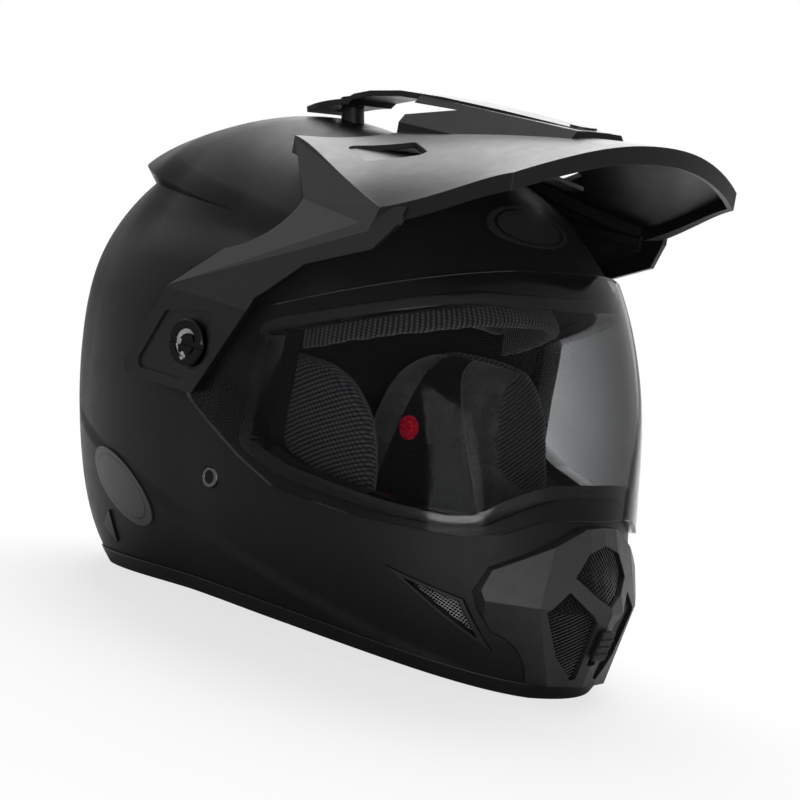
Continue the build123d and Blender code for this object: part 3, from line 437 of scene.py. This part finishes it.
def metalFinish(name, look):
    material, tree, shader, place = startFinish(name, look["colour"], look["roughness"][0])
    shader.inputs["Metallic"].default_value = 1.0
    scratches = noiseField(tree, turned(tree, place, stretch=brushing["stretch"]), look["brush"], brushing["detail"])
    tree.links.new(remap(tree, scratches, *look["roughness"]), shader.inputs["Roughness"])
    dark, light = ([shade * part for part in look["colour"]] for shade in brushing["shades"])
    tree.links.new(tint(tree, scratches, dark, light), shader.inputs["Base Color"])
    relief(tree, shader, scratches, brushing["height"], brushing["strength"])
    return material


metals = {name: metalFinish(name, look) for name, look in metalLook.items()}
dress(metals["darkPlating"], "peak_screw")
dress(metals["polishedSteel"], "d_ring_inner", "d_ring_outer", *bothSides("strap_anchor"))

# Woven wire behind the vents: wires over a dark backing sheet, painted shade for the vent's dark inside, on the outer
# faces of the sheet they replace
wovenLook = {
    "chin": {"pitch": 0.00175, "turn": 32, "wire": 0.00055, "sheet": 0.0012, "reach": 0.0023, "smallest": 0.00006},
    "side": {"pitch": 0.00125, "turn": 28, "wire": 0.00042, "sheet": 0.0012, "reach": 0.0011, "smallest": 0.000003},
    "shadeBacking": {"colour": (0.0025, 0.0025, 0.0026), "roughness": 0.8, "specular": 0.1, "grain": 1500.0,
               "grainHeight": 0.0001},
    "outwards": 0.5,        # cosine past which a face counts as an outer one
    "spread": 0.75,         # half the cut cloth, as a share of the sheet's longer side
}


def outerPlanes(bm, toward, smallest):      # normal and distance of the large flat faces that look outwards
    groups = {}
    for face in bm.faces:
        if face.normal.dot(toward) > wovenLook["outwards"]:
            groups.setdefault(tuple(round(part, 1) for part in face.normal), []).append(face)
    planes = []
    for faces in groups.values():
        area = sum(face.calc_area() for face in faces)
        if area > smallest:
            normal = sum((face.normal * face.calc_area() for face in faces), Vector()).normalized()
            middle = sum((face.calc_center_median() * face.calc_area() for face in faces), Vector()) / area
            planes.append((normal, normal.dot(middle)))
    return planes


def shadeBackingFinish(look):
    material, tree, shader, place = startFinish("ventShadeBacking", look["colour"], look["roughness"], look["specular"])
    relief(tree, shader, noiseField(tree, place, look["grain"]), look["grainHeight"])
    return material


def wovenSheet(node, name, look, toward, wireFinish, shadeBacking):
    source = bmesh.new()
    source.from_mesh(frame["nodes"][node].data)
    bmesh.ops.remove_doubles(source, verts=source.verts, dist=weldReach)
    near = BVHTree.FromBMesh(source)
    planes = outerPlanes(source, toward, look["smallest"])
    deep = 0 if abs(toward.x) > abs(toward.y) else 1        # the axis that the sheet faces
    wide = 1 - deep
    spans = [[vertex.co[axis] for vertex in source.verts] for axis in (wide, 2)]
    middle = [(min(span) + max(span)) / 2 for span in spans]
    half = wovenLook["spread"] * max(max(span) - min(span) for span in spans)
    bm = bmesh.new()
    cells = int(2 * half / look["pitch"])
    bmesh.ops.create_grid(bm, x_segments=cells, y_segments=cells, size=half)
    bmesh.ops.rotate(bm, verts=bm.verts, matrix=Euler((0, 0, radians(look["turn"]))).to_matrix())
    for vertex in bm.verts:
        place = Vector((0, 0, vertex.co.y + middle[1]))
        place[wide] = vertex.co.x + middle[0]
        heights = [(drop - normal[wide] * place[wide] - normal.z * place.z) / normal[deep] for normal, drop in planes]
        place[deep] = max(heights) if toward[deep] < 0 else min(heights)
        vertex.co = place
    lost = [vertex for vertex in bm.verts if near.find_nearest(vertex.co)[3] > look["reach"]]
    bmesh.ops.delete(bm, geom=lost, context="VERTS")
    bmesh.ops.recalc_face_normals(bm, faces=bm.faces)
    if sum((face.normal.dot(toward) for face in bm.faces)) < 0:
        bmesh.ops.reverse_faces(bm, faces=bm.faces)
    wires = bm.copy()
    bmesh.ops.translate(wires, verts=wires.verts, vec=-toward * look["wire"] / 2)
    bmesh.ops.wireframe(wires, faces=wires.faces, thickness=look["wire"], use_replace=True, use_boundary=True,
                        use_even_offset=False)
    # The solid sheet behind the wires is painted shade: a dark sheet standing for the shade inside the vent
    bmesh.ops.translate(bm, verts=bm.verts, vec=-toward * look["wire"])
    bmesh.ops.solidify(bm, geom=bm.faces[:] + bm.edges[:] + bm.verts[:], thickness=look["sheet"] - look["wire"])
    for face in bm.faces:
        face.material_index = 1
    wireMesh = bpy.data.meshes.new(name + "Wires")
    wires.to_mesh(wireMesh)
    bm.from_mesh(wireMesh)
    wires.free()
    source.free()
    sheet = linkMesh(name, bm)
    for material in (wireFinish, shadeBacking):
        sheet.data.materials.append(material)
    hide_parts(node)
    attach(sheet, frame["nodes"][node]["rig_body"])
    return sheet


shadeBacking = shadeBackingFinish(wovenLook["shadeBacking"])
woven = [wovenSheet("chin_vent_mesh", "chinWire", wovenLook["chin"], Vector((0, -1, 0)), metals["blackMesh"], shadeBacking)]
for side, outward in (("right", -1), ("left", 1)):
    woven.append(wovenSheet("side_vent_mesh_" + side, "sideWire_" + side, wovenLook["side"],
                            Vector((outward, 0, 0)), metals["grilleMetal"], shadeBacking))
print("woven sheets:", [len(sheet.data.polygons) for sheet in woven])

# Strap rivets: painted shade darkens the sunk middle inside a plain metal ring
rivetLook = {"centre": (0, 0.0028, 0.075), "middle": (0.010, 0.010, 0.0105), "ring": (0.085, 0.085, 0.088),
             "edges": (0.0030, 0.0036), "depth": 0.0006, "axes": (endless, 1, 1), "scuff": 1300.0,
             "roughness": (0.24, 0.42)}


def rivetFinish(look):
    material, tree, shader, place = startFinish("rivetCap", look["ring"], look["roughness"][0])
    shader.inputs["Metallic"].default_value = 1.0
    # The dark middle is painted shade in the rivet's hollow; the ring keeps the plain metal colour
    ring = softStep(tree, distanceFrom(tree, place, look["centre"], 0, look["axes"]), *look["edges"])
    scuff = noiseField(tree, place, look["scuff"])
    tree.links.new(tint(tree, ring, look["middle"], look["ring"]), shader.inputs["Base Color"])
    tree.links.new(remap(tree, scuff, *look["roughness"]), shader.inputs["Roughness"])
    relief(tree, shader, ring, look["depth"])
    return material


dress(rivetFinish(rivetLook), *bothSides("strap_rivet"))

# Knobs: dark plating with a painted highlight crescent (a disc less a second one that bites into it) and a small
# painted glint below
knobLook = {"centre": (0, 0.0211, 0.1390), "bite": (0, 0.0187, 0.1375), "reach": (0.0072, 0.0068),
            "discAxes": (endless, 1, 1), "glintSpot": (0, 0.0216, 0.1325), "glintSpotAxes": (endless, 0.0016, 0.0021),
            "glintColour": (0.42, 0.42, 0.425), "glintMottle": (0.6, 1.0), "depth": 0.0004, "strength": 0.6}


def knobFinish(look):
    base = metalLook["darkPlating"]
    material, tree, shader, place = startFinish("knobPlating", base["colour"], base["roughness"][0])
    shader.inputs["Metallic"].default_value = 1.0
    disc, bite = (distanceFrom(tree, place, look[key], 0, look["discAxes"]) for key in ("centre", "bite"))
    inside = combine(tree, "LESS_THAN", disc, look["reach"][0])
    outside = combine(tree, "GREATER_THAN", bite, look["reach"][1])
    glintSpot = combine(tree, "LESS_THAN", distanceFrom(tree, place, look["glintSpot"], 0, look["glintSpotAxes"]), 1.0)
    shape = combine(tree, "MAXIMUM", combine(tree, "MULTIPLY", inside, outside), glintSpot)
    scuff = noiseField(tree, place, base["brush"])
    # Painted highlight: the crescent and the small spot are lightened, mottled by noise
    glint = combine(tree, "MULTIPLY", shape, remap(tree, scuff, *look["glintMottle"]))
    tree.links.new(tint(tree, glint, base["colour"], look["glintColour"]), shader.inputs["Base Color"])
    tree.links.new(remap(tree, scuff, *base["roughness"]), shader.inputs["Roughness"])
    relief(tree, shader, shape, look["depth"], look["strength"])
    return material


dress(knobFinish(knobLook), *bothSides("knob"))

# The red press stud on the left pad
snapLook = {"colour": (0.95, 0.012, 0.060), "dark": (0.70, 0.008, 0.035), "roughness": (0.22, 0.34),
            "mottle": 700.0, "height": 0.00003, "strength": 0.3}


def snapFinish(look):
    material, tree, shader, place = startFinish("redStud", look["colour"], look["roughness"][0])
    mottle = noiseField(tree, place, look["mottle"])
    tree.links.new(tint(tree, mottle, look["dark"], look["colour"]), shader.inputs["Base Color"])
    tree.links.new(remap(tree, mottle, *look["roughness"]), shader.inputs["Roughness"])
    relief(tree, shader, mottle, look["height"], look["strength"])
    return material


dress(snapFinish(snapLook), "strap_snap")

# Face shield: lightly smoked, darker where it is seen along its wall
shieldLook = {"colour": (0.012, 0.012, 0.013), "clear": (0.96, 0.965, 0.97), "roughness": 0.03, "specular": 0.12,
              "facing": 0.10, "edge": 0.78, "bend": 0.5, "haze": 260.0, "hazeHeight": 0.000004, "hazeStrength": 0.15}


def shieldFinish(look):
    material, tree, shader, place = startFinish("smokedShield", look["colour"], look["roughness"], look["specular"])
    relief(tree, shader, noiseField(tree, place, look["haze"]), look["hazeHeight"], look["hazeStrength"])
    see = addNode(tree, "ShaderNodeBsdfTransparent", Color=(*look["clear"], 1))
    weight = addNode(tree, "ShaderNodeLayerWeight", Blend=look["bend"])
    amount = remap(tree, weight.outputs["Facing"], look["facing"], look["edge"], 0.0, 1.0)
    mix = addNode(tree, "ShaderNodeMixShader")
    out = [node for node in tree.nodes if node.type == "OUTPUT_MATERIAL"][0]
    tree.links.new(amount, mix.inputs[0])
    tree.links.new(see.outputs[0], mix.inputs[1])
    tree.links.new(shader.outputs[0], mix.inputs[2])
    tree.links.new(mix.outputs[0], out.inputs["Surface"])
    return material


def paintRimHighlight(node, material, look):      # paints a lighter highlight on the cut edge of a curved sheet
    sheet = frame["nodes"][node]
    sheet.data.materials.append(material)
    for face in sheet.data.polygons:
        outwards = (Vector(face.center) - Vector(look["centre"])).normalized()
        if abs(face.normal.dot(outwards)) < look["across"]:
            face.material_index = len(sheet.data.materials) - 1


# The shield's cut edge gets a lighter colour: a painted highlight along the rim
shieldRimHighlight = {"colour": (0.16, 0.16, 0.165), "roughness": (0.12, 0.2), "specular": 0.5, "edge": 0.0004,
             "grain": 800.0, "centre": (0.0, 0.021, 0.139), "across": 0.35}
dress(shieldFinish(shieldLook), "shield")
paintRimHighlight("shield", rubberFinish("shieldRimHighlight", shieldRimHighlight, shieldRimHighlight["roughness"]), shieldRimHighlight)
print("hard finishes ready")

# Cloth finishes
clothLook = {
    "brushed": {"dark": (0.039, 0.039, 0.041), "light": (0.136, 0.136, 0.140), "scale": 900.0, "height": 0.0004,
                "roughness": 0.9, "specular": 0.15, "sheen": 0.35},
    "pocket": {"dark": (0.004, 0.004, 0.0045), "light": (0.014, 0.014, 0.015), "scale": 500.0, "height": 0.0005,
               "roughness": 0.9, "specular": 0.15, "sheen": 0.03},
    "spacer": {"dark": (0.005, 0.005, 0.0054), "light": (0.118, 0.118, 0.122), "pitch": 0.0021, "height": 0.0009,
               "roughness": 0.85, "specular": 0.2, "sheen": 0.2, "rows": 52, "crossing": -34, "thread": 2600.0},
    "webbing": {"dark": (0.006, 0.006, 0.0065), "light": (0.022, 0.022, 0.024), "pitch": 0.0016, "height": 0.0004,
                "roughness": 0.7, "specular": 0.3, "sheen": 0.15},
}
napLook = {"detail": 6.0, "patches": 14, "share": 0.7, "range": (0.3, 0.8), "sheenRoughness": 0.5, "strength": 0.8}
knitLook = {"crossPitch": 0.7, "crossLow": 0.35, "threadShare": 0.25, "range": (0.1, 1.0), "strength": 0.9,
            "threadHeight": 1 / 6, "threadStrength": 0.5}
weaveLook = {"turn": (0, 45, 0), "weftPitch": 0.8, "weftLow": 0.4, "strength": 0.8}


def startCloth(name, look):
    material, tree, shader, place = startFinish(name, look["dark"], look["roughness"], look["specular"])
    shader.inputs["Sheen Weight"].default_value = look["sheen"]
    return material, tree, shader, place


def brushedCloth(name, look):
    material, tree, shader, place = startCloth(name, look)
    shader.inputs["Sheen Roughness"].default_value = napLook["sheenRoughness"]
    nap = noiseField(tree, place, look["scale"], napLook["detail"])
    patch = noiseField(tree, place, look["scale"] / napLook["patches"])
    both = combine(tree, "MULTIPLY_ADD", nap, napLook["share"], remap(tree, patch, 0.0, 1 - napLook["share"]))
    tree.links.new(tint(tree, remap(tree, both, 0.0, 1.0, *napLook["range"]), look["dark"], look["light"]),
                   shader.inputs["Base Color"])
    relief(tree, shader, nap, look["height"], napLook["strength"])
    return material


# Unrolls a pad into a flat pattern: along its face, or round an arc of that y and radius, and upwards
def clothPlane(tree, place, arc):
    axes = addNode(tree, "ShaderNodeSeparateXYZ")
    tree.links.new(place, axes.inputs[0])
    flat = addNode(tree, "ShaderNodeCombineXYZ")
    if arc:
        ahead = combine(tree, "SUBTRACT", arc[0], axes.outputs["Y"])
        along = combine(tree, "MULTIPLY", combine(tree, "ARCTAN2", axes.outputs["X"], ahead), arc[1])
    else:
        along = combine(tree, "SUBTRACT", combine(tree, "ABSOLUTE", axes.outputs["X"]), axes.outputs["Y"])
    tree.links.new(along, flat.inputs["X"])
    tree.links.new(axes.outputs["Z"], flat.inputs["Y"])
    return flat.outputs[0]


def spacerMesh(name, look, lean=0, arc=None):
    material, tree, shader, place = startCloth(name, look)
    flat = clothPlane(tree, place, arc)
    ridge = ribs(tree, turned(tree, flat, (0, 0, look["rows"] + lean)), look["pitch"])
    cross = ribs(tree, turned(tree, flat, (0, 0, look["crossing"] + lean)), look["pitch"] * knitLook["crossPitch"])
    cells = combine(tree, "MULTIPLY", ridge, remap(tree, cross, knitLook["crossLow"], 1.0, 0.0, 1.0))
    thread = noiseField(tree, place, look["thread"])
    both = combine(tree, "MULTIPLY_ADD", thread, knitLook["threadShare"], cells)
    tree.links.new(tint(tree, remap(tree, both, 0.0, 1.0, *knitLook["range"]), look["dark"], look["light"]),
                   shader.inputs["Base Color"])
    relief(tree, shader, cells, look["height"], knitLook["strength"])
    relief(tree, shader, thread, look["height"] * knitLook["threadHeight"], knitLook["threadStrength"])
    return material


def webbingFinish(name, look):
    material, tree, shader, place = startCloth(name, look)
    warp = ribs(tree, place, look["pitch"], "Y")
    weft = ribs(tree, turned(tree, place, weaveLook["turn"]), look["pitch"] * weaveLook["weftPitch"], "Z")
    weave = combine(tree, "MULTIPLY", warp, remap(tree, weft, weaveLook["weftLow"], 1.0, 0.0, 1.0))
    tree.links.new(tint(tree, weave, look["dark"], look["light"]), shader.inputs["Base Color"])
    relief(tree, shader, weave, look["height"], weaveLook["strength"])
    return material


browArc = (0.03, 0.09)      # y of the centre and radius of the brow pad's sweep
brushed = brushedCloth("brushedCloth", clothLook["brushed"])
pocketCloth = brushedCloth("pocketCloth", clothLook["pocket"])
spacerSide = spacerMesh("spacerMeshSide", clothLook["spacer"])
spacerBrow = spacerMesh("spacerMeshBrow", clothLook["spacer"], -clothLook["spacer"]["rows"], browArc)
webbing = webbingFinish("webbing", clothLook["webbing"])

# Padding: each cushion is swollen from its moulded block, then its seams are drawn in.
headCentre = Vector((0.0, 0.015, 0.135))
padding = {"voxel": 0.004, "rounds": 4, "smoothing": 0.5, "shrink": 0.0006, "pressure": 4.0, "quality": 4,
           "frames": 20, "cap": 0.0022, "release": (2.5, -0.2), "fill": 0.7}


def freeShare(place, normal):      # 1 on faces turned to the head, 0 on those against the foam
    slope, start = padding["release"]
    return max(0.0, min(1.0, (headCentre - place).normalized().dot(normal) * slope + start))


def swell(pad, setup):
    rest = [vertex.co.copy() for vertex in pad.data.vertices]
    normals = [vertex.normal.copy() for vertex in pad.data.vertices]
    free = [freeShare(place, normal) for place, normal in zip(rest, normals)]
    held = pad.vertex_groups.new(name="held")
    for index, share in enumerate(free):
        held.add([index], 1.0 - share, "REPLACE")
        pad.data.vertices[index].co = rest[index] - normals[index] * setup["shrink"] * share
    cloth = pad.modifiers.new("filling", "CLOTH")
    cloth.settings.vertex_group_mass = "held"
    cloth.settings.effector_weights.gravity = 0.0
    cloth.settings.use_pressure = True
    cloth.settings.uniform_pressure_force = setup["pressure"]
    cloth.settings.quality = setup["quality"]
    for number in range(1, setup["frames"] + 1):
        scene.frame_set(number)
    settleModifiers(pad)
    scene.frame_set(1)
    for index, vertex in enumerate(pad.data.vertices):
        step = vertex.co - rest[index]
        if step.length > setup["cap"]:
            vertex.co = rest[index] + step.normalized() * setup["cap"]


def makeCushion(node, name, setup):
    pad = mergedCopy(node, name)
    grid = pad.modifiers.new("voxels", "REMESH")
    grid.mode, grid.voxel_size = "VOXEL", setup["voxel"]
    settleModifiers(pad)
    bm = bmesh.new()
    bm.from_mesh(pad.data)
    for _ in range(setup["rounds"]):
        bmesh.ops.smooth_vert(bm, verts=bm.verts, factor=setup["smoothing"],
                              use_axis_x=True, use_axis_y=True, use_axis_z=True)
    bm.to_mesh(pad.data)
    bm.free()
    swell(pad, setup)
    finer = pad.modifiers.new("finer", "SUBSURF")
    finer.levels = finer.render_levels = 1
    settleModifiers(pad)
    smoothShade(pad)
    return pad


def drawSeams(pad, setup, distance):
    normals = [vertex.normal.copy() for vertex in pad.data.vertices]
    for vertex, normal in zip(pad.data.vertices, normals):
        if freeShare(vertex.co, normal) > 0:
            pull = exp(-(distance(vertex.co) / setup["width"]) ** 2)
            vertex.co -= normal * setup["depth"] * pull


def cutAlong(pad, seams):          # clean edges where two cloths meet: place and normal of each cut
    bm = bmesh.new()
    bm.from_mesh(pad.data)
    for place, normal in seams:
        bmesh.ops.bisect_plane(bm, geom=bm.verts[:] + bm.edges[:] + bm.faces[:], plane_co=place, plane_no=normal,
                               dist=0.0002)
    bm.to_mesh(pad.data)
    bm.free()
    smoothShade(pad)


def finishCushion(pad, node, materials, choose):    # choose gives the number of the cloth at a place
    pad.data.materials.clear()
    for material in materials:
        pad.data.materials.append(material)
    for face in pad.data.polygons:
        face.material_index = choose(face.center)
    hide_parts(node)
    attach(pad, frame["nodes"][node]["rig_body"])


# Cheek pads: spacer mesh in front, a brushed band, the dark ear pocket and a brushed panel behind it
cheekLook = {
    "depth": 0.0016, "width": 0.0014, "outerEdge": 0.070,
    "frontSeam": (-0.040, 0.091, 0.21, 1.75),   # y and z of its bend, slope above and below
    "bandSeam": (-0.036, 0.058, 0.464),         # y and z of a point on it, and its slope
    "rearSeam": (0.040, 0.072, -0.32),
}


def cheekSeams(z, look=cheekLook):  # y of the three seams at a height, front to back
    y, bend, above, below = look["frontSeam"]
    front = y + (z - bend) * (above if z > bend else below)
    return [front] + [seam[0] + (z - seam[1]) * seam[2] for seam in (look["bandSeam"], look["rearSeam"])]


def cheekPanel(place):              # 0 spacer mesh, 1 band, 2 pocket, 3 rear panel
    if abs(place.x) > cheekLook["outerEdge"]:
        return 0
    return sum(place.y > seam for seam in cheekSeams(place.z))


def cheekSeamDistance(place):
    return min([abs(abs(place.x) - cheekLook["outerEdge"])] + [abs(place.y - seam) for seam in cheekSeams(place.z)])


def cheekCuts(look):
    y, bend, above, below = look["frontSeam"]
    lines = ((y, bend, above), (y, bend, below), look["bandSeam"], look["rearSeam"])
    cuts = [(Vector((0, line[0], line[1])), Vector((0, 1, -line[2])).normalized()) for line in lines]
    return cuts + [(Vector((end * look["outerEdge"], 0, 0)), Vector((1, 0, 0))) for end in (-1, 1)]


for side in ("right", "left"):
    node = "cheek_pad_" + side
    pad = makeCushion(node, "cheekCushion_" + side, padding)
    cutAlong(pad, cheekCuts(cheekLook))
    drawSeams(pad, cheekLook, cheekSeamDistance)
    finishCushion(pad, node, (spacerSide, brushed, pocketCloth, brushed), cheekPanel)
print("cheek pads ready")

# Brow pad, crown pad and neck roll
browLook = {"depth": 0.0012, "width": 0.0024, "seamHeight": 0.186}
crownLook = {"depth": 0.0030, "width": 0.0042, "channels": (-0.047, 0.047), "rows": (0.010, 0.072)}
neckLook = {"depth": 0.0012, "width": 0.0024, "spacing": 0.028}

brow = makeCushion("brow_pad", "browCushion", padding)
cutAlong(brow, [(Vector((0, 0, browLook["seamHeight"])), Vector((0, 0, 1)))])
drawSeams(brow, browLook, lambda place: place.z - browLook["seamHeight"])
finishCushion(brow, "brow_pad", (spacerBrow, brushed), lambda place: 0 if place.z < browLook["seamHeight"] else 1)

crown = makeCushion("crown_pad", "crownCushion", padding)
cutAlong(crown, [(Vector((at, 0, 0)), Vector((1, 0, 0))) for at in crownLook["channels"]])
drawSeams(crown, crownLook, lambda place: min([abs(place.x - at) for at in crownLook["channels"]]
                                              + [abs(place.y - at) for at in crownLook["rows"]]))
finishCushion(crown, "crown_pad", (brushed, spacerBrow),
              lambda place: 0 if abs(place.x) > crownLook["channels"][1] else 1)

neck = makeCushion("neck_roll", "neckCushion", padding)
drawSeams(neck, neckLook, lambda place: abs((place.x + neckLook["spacing"] / 2) % neckLook["spacing"]
                                            - neckLook["spacing"] / 2))
finishCushion(neck, "neck_roll", (brushed,), lambda place: 0)
print("brow, crown and neck padding ready")

# Straps: woven bands with softened edges
strapLook = {"edge": 0.0005, "cuts": 2}

for side in ("right", "left"):
    strap = roundedCopy("strap_" + side, "webbingStrap_" + side, strapLook["edge"], strapLook["cuts"], webbing)
print("straps ready")
